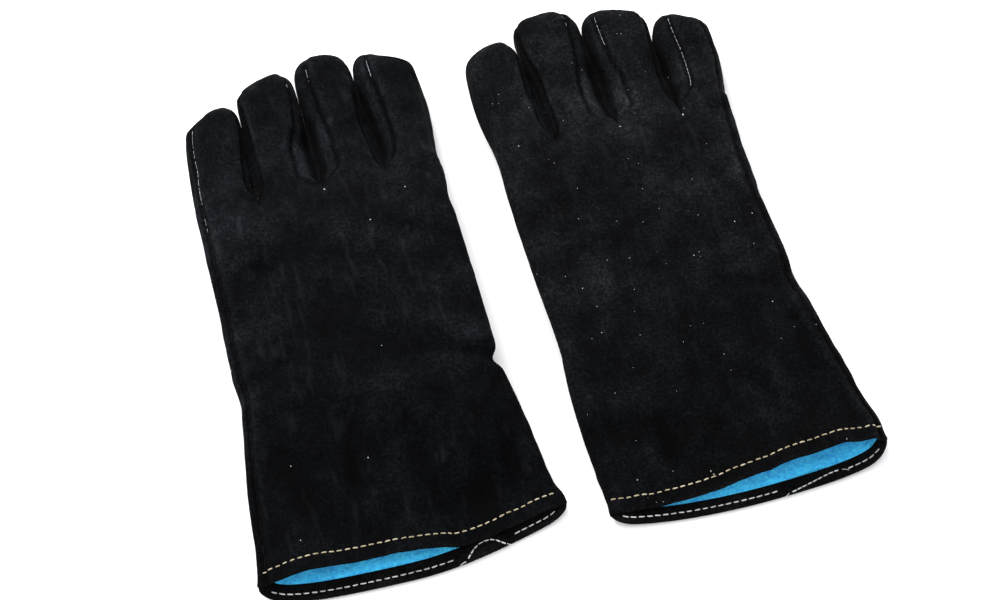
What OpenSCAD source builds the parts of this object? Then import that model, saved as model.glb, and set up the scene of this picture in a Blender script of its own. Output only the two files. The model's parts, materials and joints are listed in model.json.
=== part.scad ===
// A pair of leather welding gauntlets with fabric linings, lying back side up and
// palms down, each with its thumb tucked under the palm. Millimetres, +Z up, +Y
// towards the fingertips, origin under the middle of the pair.
//
// Every glove is drawn once in its own frame: y runs from the cuff mouth (0) to the
// fingertips, and +x is the thumb side. The right glove is the mirror image.

/* [Glove] */
// Length from the cuff edge to the middle fingertip
glove_len = 356; // [330:1:406]
// Width across the knuckles
hand_w = 157; // [150:1:164]
// Width at the wrist
wrist_w = 160; // [150:1:170]
// Width of the flared cuff mouth
cuff_w = 188; // [172:1:200]
// Height of the open cuff mouth
cuff_h = 21; // [19:1:26]
// Thickness of the padded hand
hand_h = 23; // [21:1:27]
// Thickness of a padded finger
finger_h = 24; // [22:1:26]

/* [Leather and lining] */
// Thickness of the leather
leather_t = 1.8; // [1.4:0.1:2.2]
// Thickness of the lining
lining_t = 1.6; // [1.2:0.1:2.0]
// Depth of the leather turned in at the cuff mouth
hem_depth = 12; // [9:1:15]
// How far the palm side of the cuff reaches past the back side
cuff_step = 6; // [2:1:9]
// Length of one hem stitch
stitch_len = 3.4; // [2.5:0.1:4]
// Distance from one hem stitch to the next
stitch_pitch = 5; // [4.5:0.1:6]

/* [Thumb] */
// Thickness of the thumb, which lies flat under the palm
thumb_h = 14.5; // [12:0.5:15]
// Length of the thumb beyond its pivot
thumb_len = 92; // [80:1:95]
// Width of the thumb
thumb_w = 42; // [38:1:44]
// How far the tucked thumb leans across the palm, in degrees
thumb_tuck = 35; // [20:1:40]

/* [Layout of the pair] */
// Distance between the middles of the two cuffs
pair_gap = 207; // [195:1:240]
// How far the right glove's fingertips lie ahead of the left glove's
stagger = -7; // [-20:1:20]
// How far the right glove's hand lies off its cuff's middle, to its thumb side
right_bow = 10; // [0:1:12]

/* [Hidden] */
SIDES = ["left", "right"];
// Each finger: name, middle at the base, middle at the tip, half width,
// how far the tip stops short of glove_len, and on which sides it has a gusset
FINGERS = [
    ["pinky",  -57, -55.5, 19,   24, [0]],
    ["ring",   -15.5, -17, 18.5, 7,  [0, 180]],
    ["middle", 26.5, 27,   19.5, 0,  [0, 180]],
    ["index",  65.5, 67.5, 17.5, 11, [180]],
];
HAND_NODES = ["hand_back", "hand_palm", "hand_lining", "hand_welts"];
CUFF_NODES = ["cuff_back", "cuff_palm", "cuff_lining", "cuff_hem", "cuff_welts", "hem_tab", "hem_stitches"];
THUMB_NODES = ["thumb_back", "thumb_front", "thumb_lining"];
FINGER_PARTS = ["back", "front", "gussets", "lining"];

// Roundness of the flattened tubes: 2 is an ellipse and more is boxier
tube_power = 2.6;
wrist_y = 0.303 * glove_len;
knuckle_y = 0.708 * glove_len;
// The palm is held up by the thumb under it
palm_lift = thumb_h + 1;
// Half of the gap between two neighbours that move apart
body_gap = 0.25;
// Gap between the leather and what lies inside it
layer_gap = 0.2;
hem_t = 1.2;
welt_t = 2;
welt_reach = 2;
// Where the back and palm edges stop short of the side seam, to let the welt in
welt_a = 4;
// The wrist bends this far each way, in degrees, and its edges slope to leave room
wrist_bend = 25;
wrist_slope = tan(wrist_bend / 2);
// Where each glove's hem is joined under a tab, and half of the tab's length
HEM_TAB_X = [40, -32];
hem_tab_half = 15;
hem_tab_t = 1.2;
thumb_pivot = [52, 0.388 * glove_len];
thumb_hole_r = 15;

// Angles of the points round each section, with a level stretch on top and below
BODY_TOP = concat([welt_a], [for (a = [11.25:22.5:168.75]) a], [180 - welt_a]);
BODY_RING = [for (a = [11.25:22.5:348.75]) a];
FINGER_RING = [for (a = [15:30:345]) a];
FINGER_HALF = concat([0], [for (a = [15:30:165]) a], [180]);
// A gusset reaches this far up and down the side of a finger
gusset_a = 45;
// Where a finger's sections stand, from base (0) to tip (1), with their width and
// height there as a share of the full finger
FINGER_TAPER = [[0, 1, 1], [0.3, 1, 1], [0.62, 1, 1], [0.82, 0.96, 0.93], [0.94, 0.8, 0.72], [1, 0.5, 0]];
// The thumb is rounded at its base too, where it is sewn under the palm
THUMB_TAPER = concat([[-0.2, 0.5, 0], [-0.17, 0.8, 0.6], [-0.11, 0.96, 0.94]], FINGER_TAPER);
// Half height at which a rounded end closes, leaving room for both layers of leather
tip_half = leather_t + 0.3;

function smooth(t) = let (u = min(1, max(0, t))) u * u * (3 - 2 * u);
function mix(a, b, t) = a + (b - a) * t;
function round_axis(c) = sign(c) * pow(abs(c), 2 / tube_power);
function opposite(angles) = [for (a = angles) a + 180];

// The glove's half width, its underside and its thickness at y
function half_w(y) = y < wrist_y
    ? mix(cuff_w, wrist_w, max(0, y / wrist_y)) / 2
    : mix(wrist_w, hand_w, smooth((y - wrist_y) / (knuckle_y - wrist_y))) / 2;
function belly(y) = palm_lift * smooth((y - 15) / (wrist_y + 5)) * (1 - smooth((y - knuckle_y + 30) / 75));
function thick(y) = y < wrist_y
    ? mix(cuff_h, hand_h, smooth(y / wrist_y))
    : mix(hand_h, finger_h, smooth((y - wrist_y) / (knuckle_y - wrist_y)));

// Sideways bow of a glove, with $bow set for the glove that is being drawn
function bow(y) = $bow * smooth(2 * y / glove_len);

// A section is [middle x, y, middle z, half width, half height, slope]. The slope
// moves points along y in proportion to their height above or below the middle.
function body_section(y, slope = 0) = [bow(y), y, belly(y) + thick(y) / 2, half_w(y), thick(y) / 2, slope];
function finger_section(f, t) = let (y = mix(knuckle_y + body_gap, glove_len - f[4], t[0]))
    [mix(f[1], f[2], t[0]) + bow(y), y, belly(y) + finger_h / 2,
     f[3] * t[1], max(tip_half, finger_h / 2 * t[2]), 0];
function thumb_section(t) =
    [0, thumb_len * t[0], thumb_h / 2, thumb_w / 2 * t[1], max(tip_half, thumb_h / 2 * t[2]), 0];
function sections(ys, first_slope = 0, last_slope = 0) = [
    for (i = [0:len(ys) - 1])
        body_section(ys[i], i == 0 ? first_slope : i == len(ys) - 1 ? last_slope : 0)
];

// Points of each section at the given angles, moved inwards by inset
function rings(secs, angles, inset) = [
    for (s = secs) [
        for (a = angles) let (z = (s[4] - inset) * round_axis(sin(a)))
            [s[0] + (s[3] - inset) * round_axis(cos(a)), s[1] + s[5] * abs(z), s[2] + z]
    ]
];
// The angle at which a section has the given x, on its underside
function low_angle(s, x) = 360 - acos(sign(x) * pow(abs(x) / s[3], tube_power / 2));
function flat(lists) = [for (l = lists) each l];
function quad(a, b, c, d) = [[a, b, c], [a, c, d]];

// A curved wall between an outer and an inner grid of points
module wall(outer, inner) {
    rows = len(outer) - 1;
    cols = len(outer[0]);
    side = len(outer) * cols;
    last = cols - 1;
    polyhedron(concat(flat(outer), flat(inner)), flat(concat(
        [for (i = [0:rows - 1], j = [0:last - 1]) let (a = i * cols + j)
            quad(a, a + 1, a + cols + 1, a + cols)],
        [for (i = [0:rows - 1], j = [0:last - 1]) let (a = side + i * cols + j)
            quad(a, a + cols, a + cols + 1, a + 1)],
        [for (i = [0:rows - 1]) let (a = i * cols)
            quad(a, a + cols, side + a + cols, side + a)],
        [for (i = [0:rows - 1]) let (a = i * cols + last)
            quad(a + cols, a, side + a, side + a + cols)],
        [for (j = [0:last - 1]) quad(j + 1, j, side + j, side + j + 1)],
        [for (j = [0:last - 1]) let (a = rows * cols + j)
            quad(a, a + 1, side + a + 1, side + a)]
    )));
}

// A sleeve open at both ends, from rings that go all the way round
module sleeve(outer, inner) {
    rows = len(outer) - 1;
    cols = len(outer[0]);
    side = len(outer) * cols;
    far = rows * cols;
    polyhedron(concat(flat(outer), flat(inner)), flat(concat(
        [for (i = [0:rows - 1], j = [0:cols - 1]) let (a = i * cols, k = (j + 1) % cols)
            quad(a + j, a + k, a + cols + k, a + cols + j)],
        [for (i = [0:rows - 1], j = [0:cols - 1]) let (a = side + i * cols, k = (j + 1) % cols)
            quad(a + j, a + cols + j, a + cols + k, a + k)],
        [for (j = [0:cols - 1]) let (k = (j + 1) % cols) quad(k, j, side + j, side + k)],
        [for (j = [0:cols - 1]) let (k = (j + 1) % cols)
            quad(far + j, far + k, side + far + k, side + far + j)]
    )));
}

// A sleeve closed at its far end. The inner rings stop one section earlier.
module sock(outer, inner) {
    cols = len(outer[0]);
    side = len(outer) * cols;
    far = side - cols;
    near = side + (len(inner) - 1) * cols;
    ends = side + len(inner) * cols;
    tips = [for (r = [outer, inner]) let (l = r[len(r) - 1])
        [l[0][0] / 2 + l[cols / 2][0] / 2, l[0][1], l[0][2] / 2 + l[cols / 2][2] / 2]];
    polyhedron(concat(flat(outer), flat(inner), tips), concat(
        flat([for (i = [0:len(outer) - 2], j = [0:cols - 1]) let (a = i * cols, k = (j + 1) % cols)
            quad(a + j, a + k, a + cols + k, a + cols + j)]),
        flat([for (i = [0:len(inner) - 2], j = [0:cols - 1]) let (a = side + i * cols, k = (j + 1) % cols)
            quad(a + j, a + cols + j, a + cols + k, a + k)]),
        flat([for (j = [0:cols - 1]) let (k = (j + 1) % cols) quad(k, j, side + j, side + k)]),
        [for (j = [0:cols - 1]) [far + j, far + (j + 1) % cols, ends]],
        [for (j = [0:cols - 1]) [near + (j + 1) % cols, near + j, ends + 1]]
    ));
}

module leather_wall(secs, angles) {
    color("#1b1b1d") wall(rings(secs, angles, 0), rings(secs, angles, leather_t));
}

// ---- Hand: from the wrist to the knuckles ----
hand_ys = [for (t = [0, 0.15, 0.4, 0.7, 0.86, 1]) mix(wrist_y + body_gap, knuckle_y - body_gap, t)];

function hand_sections() = sections(hand_ys, first_slope = wrist_slope);

// The hole in the palm that leads into the thumb
module thumb_entry(top, r) at_thumb() cylinder(h = top, r = r, $fn = 48);

module hand_back() leather_wall(hand_sections(), BODY_TOP);

module hand_palm() difference() {
    leather_wall(hand_sections(), opposite(BODY_TOP));
    thumb_entry(palm_lift + 8, thumb_hole_r);
}

module hand_lining() {
    outside = leather_t + layer_gap;
    color("#2f86d6") difference() {
        sleeve(rings(hand_sections(), BODY_RING, outside), rings(hand_sections(), BODY_RING, outside + lining_t));
        thumb_entry(palm_lift + 10, thumb_hole_r);
    }
}

// A strip of leather sewn into each side seam, so that its edge stands proud
module welts(ys) {
    color("#101012") for (s = [-1, 1]) {
        line = [for (y = ys) let (c = body_section(y))
            [for (e = [[welt_reach, -1], [welt_reach, 1], [0.1 - leather_t, 1], [0.1 - leather_t, -1]])
                [c[0] + s * (c[3] + e[0]), c[1], c[2] + e[1] * welt_t / 2]]];
        n = len(ys);
        faces = concat(
            flat([for (i = [0:n - 2], j = [0:3]) let (a = i * 4, k = (j + 1) % 4)
                quad(a + j, a + k, a + 4 + k, a + 4 + j)]),
            quad(3, 2, 1, 0),
            quad(n * 4 - 4, n * 4 - 3, n * 4 - 2, n * 4 - 1)
        );
        polyhedron(flat(line), s > 0 ? faces : [for (f = faces) [f[2], f[1], f[0]]]);
    }
}

// ---- Cuff: from its mouth to the wrist ----
cuff_top_ys = [cuff_step, cuff_step + hem_depth, 0.42 * wrist_y, 0.7 * wrist_y, wrist_y - body_gap];
cuff_low_ys = [0, hem_depth, cuff_step + hem_depth, 0.42 * wrist_y, 0.7 * wrist_y, wrist_y - body_gap];

module cuff_back() leather_wall(sections(cuff_top_ys, last_slope = -wrist_slope), BODY_TOP);

module cuff_palm() leather_wall(sections(cuff_low_ys, last_slope = -wrist_slope), opposite(BODY_TOP));

module cuff_lining() {
    secs = sections([for (i = [1:4]) cuff_top_ys[i]], last_slope = -wrist_slope);
    outside = leather_t + layer_gap;
    color("#2f86d6") sleeve(rings(secs, BODY_RING, outside), rings(secs, BODY_RING, outside + lining_t));
}

// The edge of the leather, turned in and lying against the inside of the cuff
module cuff_hem() {
    outside = leather_t + layer_gap / 2;
    back_secs = sections([cuff_step, cuff_step + hem_depth - layer_gap]);
    palm_secs = sections([0, hem_depth - layer_gap]);
    color("#101012") {
        wall(rings(back_secs, BODY_TOP, outside), rings(back_secs, BODY_TOP, outside + hem_t));
        wall(rings(palm_secs, opposite(BODY_TOP), outside), rings(palm_secs, opposite(BODY_TOP), outside + hem_t));
    }
}

// A patch inside the palm side, where the two ends of the hem are joined
module hem_tab(x) {
    secs = sections([0.8, hem_depth + 2]);
    angles = [for (e = [-1:0.5:1]) low_angle(secs[0], x + e * hem_tab_half)];
    outside = leather_t + 2 * layer_gap + hem_t;
    color("#161618") wall(rings(secs, angles, outside), rings(secs, angles, outside + hem_tab_t));
}

// Rows of thread that go through the leather and its hem
module hem_stitches() {
    proud = 0.5;
    through = leather_t + layer_gap + hem_t;
    color("#d9cfae") for (row = [1, -1]) {
        y = (row > 0 ? cuff_step : 0) + 0.6 * hem_depth;
        c = body_section(y);
        reach = floor(0.9 * c[3] / stitch_pitch);
        for (i = [-reach:reach]) {
            x = i * stitch_pitch;
            h = c[4] * pow(1 - pow(abs(x) / c[3], tube_power), 1 / tube_power);
            slope = atan(pow(abs(x) / c[3], tube_power - 1) / pow(h / c[4], tube_power - 1) * c[4] / c[3]);
            // The row under the palm side is pulled in flush with the leather
            out = row > 0 ? proud : -0.4;
            translate([c[0] + x, y, c[2] + row * h])
                rotate([0, row * sign(x) * slope, 0])
                    translate([0, 0, row * (out - through - proud) / 2])
                        cube([stitch_len, 0.9, through + out + proud], center = true);
        }
    }
}

// ---- Fingers ----
function finger_sections(f) = [for (t = FINGER_TAPER) finger_section(f, t)];
// A finger's back and front stop at a gusset, or at the side seam where it has none
function back_angles(f) = let (right = search(0, f[5]) != [], left = search(180, f[5]) != [])
    [for (a = FINGER_HALF) if ((!right || a >= gusset_a) && (!left || a <= 180 - gusset_a)) a];
function front_angles(f) = let (a = back_angles(f), n = len(a) - 1) [for (i = [0:n]) 360 - a[n - i]];

module finger_back(f) leather_wall(finger_sections(f), back_angles(f));

module finger_front(f) leather_wall(finger_sections(f), front_angles(f));

module finger_gussets(f) for (a = f[5])
    leather_wall(finger_sections(f), [for (e = [-gusset_a:30:gusset_a]) a + e]);

module finger_lining(f) {
    secs = [for (i = [0:4]) finger_section(f, FINGER_TAPER[i])];
    outside = leather_t + layer_gap;
    color("#2f86d6") sock(
        rings(secs, FINGER_RING, outside),
        rings([for (i = [0:3]) secs[i]], FINGER_RING, outside + lining_t)
    );
}

// ---- Thumb ----
thumb_secs = [for (t = THUMB_TAPER) thumb_section(t)];

module at_thumb() translate([thumb_pivot[0] + bow(thumb_pivot[1]), thumb_pivot[1], 0])
    rotate(thumb_tuck) children();

module thumb_back() difference() {
    at_thumb() leather_wall(thumb_secs, FINGER_HALF);
    thumb_opening();
}

module thumb_front() at_thumb() leather_wall(thumb_secs, opposite(FINGER_HALF));

module thumb_lining() {
    secs = [for (i = [1:len(thumb_secs) - 2]) thumb_secs[i]];
    outside = leather_t + layer_gap;
    color("#2f86d6") difference() {
        at_thumb() sock(
            rings(secs, FINGER_RING, outside),
            rings([for (i = [0:len(secs) - 2]) secs[i]], FINGER_RING, outside + lining_t)
        );
        thumb_opening();
    }
}

// The hole in the thumb, facing the one in the palm
module thumb_opening() difference() {
    thumb_entry(thumb_h + 1, thumb_hole_r - 3);
    thumb_entry(thumb_h / 2, thumb_hole_r);
}

// ---- The pair ----
module at_side(side) {
    right = side == "right";
    $bow = right ? right_bow : 0;
    mirror([right ? 1 : 0, 0, 0])
        translate([-pair_gap / 2, (right ? stagger : -stagger) / 2 - glove_len / 2, 0]) children();
}

for (side = SIDES) at_side(side) {
    hand_back();
    hand_palm();
    hand_lining();
    welts(hand_ys);
    cuff_back();
    cuff_palm();
    cuff_lining();
    cuff_hem();
    welts(cuff_top_ys);
    hem_tab(HEM_TAB_X[side == "right" ? 1 : 0]);
    hem_stitches();
    thumb_back();
    thumb_front();
    thumb_lining();
    for (f = FINGERS) {
        finger_back(f);
        finger_front(f);
        finger_gussets(f);
        finger_lining(f);
    }
}
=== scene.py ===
"""A pair of black suede welding gauntlets: the sewn leather, the thread, the hems and the fleece lining.

Shapes are worked out in millimetres in each glove's own frame, where y runs from the cuff mouth to the
fingertips and +x is the thumb side. Glove.place() turns them into metres in the row's frame.
"""
import json
import math

import bpy
import numpy as np
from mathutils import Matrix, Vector

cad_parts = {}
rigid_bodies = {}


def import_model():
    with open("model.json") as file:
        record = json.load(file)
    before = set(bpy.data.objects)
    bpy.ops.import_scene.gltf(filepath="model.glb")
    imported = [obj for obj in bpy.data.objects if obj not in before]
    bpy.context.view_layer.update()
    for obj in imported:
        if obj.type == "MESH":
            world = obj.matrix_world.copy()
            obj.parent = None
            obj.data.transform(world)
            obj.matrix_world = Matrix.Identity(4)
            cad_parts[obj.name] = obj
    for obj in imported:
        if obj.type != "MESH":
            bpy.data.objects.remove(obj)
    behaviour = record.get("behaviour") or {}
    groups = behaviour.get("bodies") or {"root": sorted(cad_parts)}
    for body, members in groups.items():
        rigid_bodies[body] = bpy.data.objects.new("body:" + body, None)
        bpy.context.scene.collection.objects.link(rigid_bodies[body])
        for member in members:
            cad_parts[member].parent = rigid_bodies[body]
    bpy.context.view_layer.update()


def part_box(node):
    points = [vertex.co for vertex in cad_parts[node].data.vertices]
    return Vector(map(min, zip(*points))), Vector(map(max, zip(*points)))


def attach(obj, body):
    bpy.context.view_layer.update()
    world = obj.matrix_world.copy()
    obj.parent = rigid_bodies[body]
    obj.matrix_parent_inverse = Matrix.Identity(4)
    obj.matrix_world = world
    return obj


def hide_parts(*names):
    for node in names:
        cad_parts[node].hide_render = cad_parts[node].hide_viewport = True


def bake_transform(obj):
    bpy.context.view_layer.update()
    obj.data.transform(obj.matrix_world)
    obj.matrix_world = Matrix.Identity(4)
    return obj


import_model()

MM = 0.001
FINGERS = ("pinky", "ring", "middle", "index")
# On which sides a finger has a gusset: towards the little finger's side (-1) or the thumb's side (1)
GUSSETS = {"pinky": (1,), "ring": (-1, 1), "middle": (-1, 1), "index": (-1,)}

# Leather, lining and thread
LEATHER = 1.8
# How far the turned-in hem reaches into the mouth, and the radius of its fold
HEM_DEPTH = {"left": 9.2, "right": 7.8}
HEM_FOLD = 1.3
# The hem's cut edge is this far past its last ring, and slopes down to the lining
HEM_END = 0.4
# How far the back of the cuff stops short of the palm side
CUFF_STEP = 6.0
LINING_INSET = 2.3
# The welts stand this far out of their seams, and are this thick
WELT_REACH = 0.55
WELT_WIDTH = 1.3
# Radius, length and spacing of the hem's stitches, and the points round one stitch
THREAD_R = 0.42
STITCH_LEN = 3.3
STITCH_PITCH = 4.9
STITCH_SIDES = 6
# The finer stitches of the finger seams, and how far they stand off the leather
FINE = {"length": 3.5, "pitch": 3.5, "radius": 0.17}
FINE_LIFT = 0.22
# How far the back's hem row is from the edge of the mouth
HEM_ROW = 7.2

# Shape of the cuff, the hand and the thumb: half widths at the wrist and the knuckles, heights, and how far
# the glove bows towards the thumb
WRIST_HALF = {"left": 80.5, "right": 79.5}
HAND_HALF = {"left": 79.5, "right": 78.0}
BOW = {"left": 0.0, "right": 12.0}
PALM_LIFT = 15.5
THUMB_H = 14.5
THUMB_W = 42.0
THUMB_LEN = 92.0
THUMB_TUCK = 35.0
FINGER_H = 24.0
HAND_H = 23.0
CUFF_H = 21.0
# How far past the wrist the cuff's pieces reach; the reach along a finger and the height only go into points
# that settle() works out and does not use
WRIST_REACH = 26.0
KNUCKLE_REACH = 36.0
BEND_Z = 20.0
# How far the crotches are above the CAD model's hand, and how far below them the fingers' sections begin
CROTCH_UP = 6.0
CROTCH_RISE = 12.0
# How far up the cuff the mouth's own section fades out
MOUTH_FADE = 78.0
# Where the mouth of each cuff closes, as a share of its half width from its middle towards the thumb
MOUTH_SHUT = {"left": (-0.20, 0.46), "right": (-0.55, 0.86)}
MOUTH_OPEN_H = {"left": 16.0, "right": 23.0}
MOUTH_SHUT_H = 7.6
# How far each corner of the mouth is set back: little finger's side, thumb's side
MOUTH_SKEW = {"left": (3.0, 9.5), "right": (3.0, 3.0)}
# The palm side swells out at the mouth, and the back draws in
PALM_SWELL = 6.5
BACK_DRAW = 2.5
# Kinks in the outline: side, height up the glove, depth, width
KINKS = {
    "left": ((1, 110, 4.0, 5), (-1, 118, 1.4, 8), (1, 226, 1.5, 8), (1, 55, -1.8, 45), (-1, 60, -2.4, 45),
             (1, 0, -4.0, 14)),
    "right": ((1, 125, 2.4, 28), (-1, 120, 1.6, 12), (-1, 205, 4.2, 55), (1, 215, -1.8, 35),
              (-1, 70, 1.6, 22), (1, 0, 8.0, 45), (-1, 0, 2.5, 12)),
}

# Fingers, from the little finger's side: how far the lines between them lean and spread, how the outer sides
# bulge and lean in, and each tip's slant, gap to the next, reach past the CAD model and rounded share
FINGER_LEAN = {"left": -2.0, "right": -5.5}
TIP_SPREAD = {"left": (1.5, -0.5, -4), "right": (-1.5, 1.5, 6)}
OUTER_BULGE = {"left": (-1.0, 4), "right": (8.0, 4)}
OUTER_LEAN = {"left": (9, 0), "right": (-1, 0)}
TIP_TILT = {"left": (5.5, 3.5, -1.5, -6.5), "right": (4.5, 3.5, 1.0, -3.5)}
TIP_GAP = {"left": (0.3, 0.8, 1.0), "right": (1.8, 0.4, 0.4)}
TIP_REACH = {"left": (4, 2, 1, 5.5), "right": (4, 1.5, 0.5, -1)}
TIP_ROUND = {"pinky": 0.34, "ring": 0.27, "middle": 0.23, "index": 0.27}
# Where each back seam runs beside a gusset, as a share of the finger's half width; small is rolled inwards
BACK_SEAMS = {
    "left": {("pinky", 1): 0.93, ("ring", -1): 0.93, ("ring", 1): 0.80, ("middle", -1): 0.56,
             ("middle", 1): 0.93, ("index", -1): 0.50},
    "right": {("pinky", 1): 0.36, ("ring", -1): 0.93, ("ring", 1): 0.58, ("middle", -1): 0.62,
              ("middle", 1): 0.93, ("index", -1): 0.93},
}
# The crotch between the ring and middle fingers stands open, so that both its gussets show as puffs
POCKET_SHARE = 0.42
PALM_SEAM = 0.8
SIDE_SEAM_IN = 4.6
# How much painted shade darkens the leather towards the mouth, in the slits between the fingers, and beside
# a gusset
CUFF_SHADE = {"left": 0.17, "right": 0.22}
SLIT_SHADE = 0.30
GUSSET_SHADE = 0.42
# Seams whose thread shows: finger, side, from and to along it
SHOWN_THREAD = {
    "left": (("ring", 1, 0.80, 0.90), ("middle", -1, 0.74, 0.92), ("index", -1, 0.72, 0.95)),
    "right": (("middle", -1, 0.80, 0.95), ("ring", 1, 0.62, 0.96), ("pinky", 1, 0.12, 0.96)),
}
# The patch in the hem: its place across, and half its width
TAB_X = {"left": 43.0, "right": -42.0}
TAB_HALF = {"left": 15.0, "right": 20.0}
TAB_STEPS = 20
# The bar tacks' stitches, and the loose ends of thread
TACK = {"length": 1.6, "pitch": 1.5, "radius": 0.5}
TAIL_R = 0.3
TAIL_RINGS = 12
# Where the thumb is sewn to the palm: across, and as a share of the glove's length
THUMB_X = 52.0
THUMB_SHARE = 0.388

# Grid: columns over a finger's width, spacing of the hand's rows, and how far up a finger each row lies
BLOCK_STEPS = 30
ROW_STEP = 1.9
FINGER_ROWS = 52
FINGER_TS = 1 - (1 - np.linspace(0, 1, FINGER_ROWS)) ** 1.4


def smooth(t):
    u = np.clip(t, 0.0, 1.0)
    return u * u * (3 - 2 * u)


def mix(a, b, t):
    return a + (b - a) * t


def hump(t):
    """Rises from 0 to 1 and falls back to 0 as t goes from 0 to 1."""
    return np.sin(np.clip(t, 0, 1) * math.pi)


def section_walk(steps, power=2.9, width=20, height=12):
    """Half of a superellipse walked in even steps: across from -1 to 1, and the height."""
    a = np.linspace(0, math.pi, 3000)
    x = -np.sign(np.cos(a)) * np.abs(np.cos(a)) ** (2 / power)
    z = np.abs(np.sin(a)) ** (2 / power)
    along = np.concatenate([[0], np.cumsum(np.hypot(np.diff(x) * width, np.diff(z) * height))])
    at = np.linspace(0, along[-1], steps + 1)
    return np.interp(at, along, x), np.interp(at, along, z)


ACROSS, HEIGHT = section_walk(BLOCK_STEPS)


def waves(p, size, seed, stretch=(1, 1, 1), count=16):
    """Seeded random relief of about unit height, with lumps about size millimetres across."""
    rng = np.random.default_rng(seed)
    out = np.zeros(len(p))
    for _ in range(count):
        d = rng.normal(size=3)
        d /= np.linalg.norm(d)
        d *= 2 * math.pi / (size * rng.uniform(0.7, 1.7) * np.array(stretch))
        out += np.sin(p @ d + rng.uniform(0, 2 * math.pi))
    return out / math.sqrt(count / 2)


def segment_distance(p, a, b):
    """Distance in plan from points to a segment, and how far along it they are."""
    a, b = np.array(a, float), np.array(b, float)
    t = np.clip(((p[:, :2] - a) @ (b - a)) / ((b - a) @ (b - a)), 0, 1)
    return np.linalg.norm(p[:, :2] - (a + t[:, None] * (b - a)), axis=1), t


# ---------------------------------------------------------------- the surface of one glove
# Folds pressed into the back: start, end, width, depth (negative stands proud)
FOLDS = {
    "left": [
        ((84, 110), (36, 124), 4.5, 2.4), ((84, 122), (44, 140), 6, -1.8), ((-84, 122), (-34, 138), 5, 2.0),
        ((-80, 106), (-40, 114), 6, -1.4), ((-30, 34), (-12, 100), 5, 1.7), ((4, 24), (0, 86), 5, -1.5),
        ((24, 26), (12, 104), 4, 1.8), ((50, 40), (60, 92), 5, 1.4), ((-58, 30), (-52, 84), 6, 1.2),
        ((72, 196), (26, 214), 6, 1.6), ((-62, 188), (-24, 214), 7, 1.3), ((40, 152), (-10, 172), 8, 1.4),
        ((-20, 236), (22, 232), 6, 1.1), ((74, 238), (58, 256), 4, 1.1), ((60, 30), (66, 70), 4, -1.0),
        ((-66, 206), (-42, 210), 4, -0.9), ((20, 200), (44, 186), 6, -1.2),
        ((-40, 150), (-20, 190), 7, 1.0),
    ],
    "right": [
        ((86, 116), (36, 128), 6, 1.8), ((-62, 114), (-20, 128), 5, 2.2), ((-64, 134), (-30, 150), 6, -1.6),
        ((-34, 26), (-24, 92), 6, 1.5), ((6, 24), (16, 104), 5, 1.7), ((34, 32), (32, 90), 5, -1.3),
        ((58, 26), (52, 88), 5, 1.3), ((82, 196), (42, 210), 6, 1.3), ((-46, 196), (-6, 214), 7, 1.4),
        ((68, 160), (14, 172), 9, 1.2), ((-4, 232), (36, 236), 6, 1.0), ((-50, 176), (-36, 220), 6, 1.1),
        ((-70, 40), (-58, 80), 5, 1.2),
    ],
}


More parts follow.
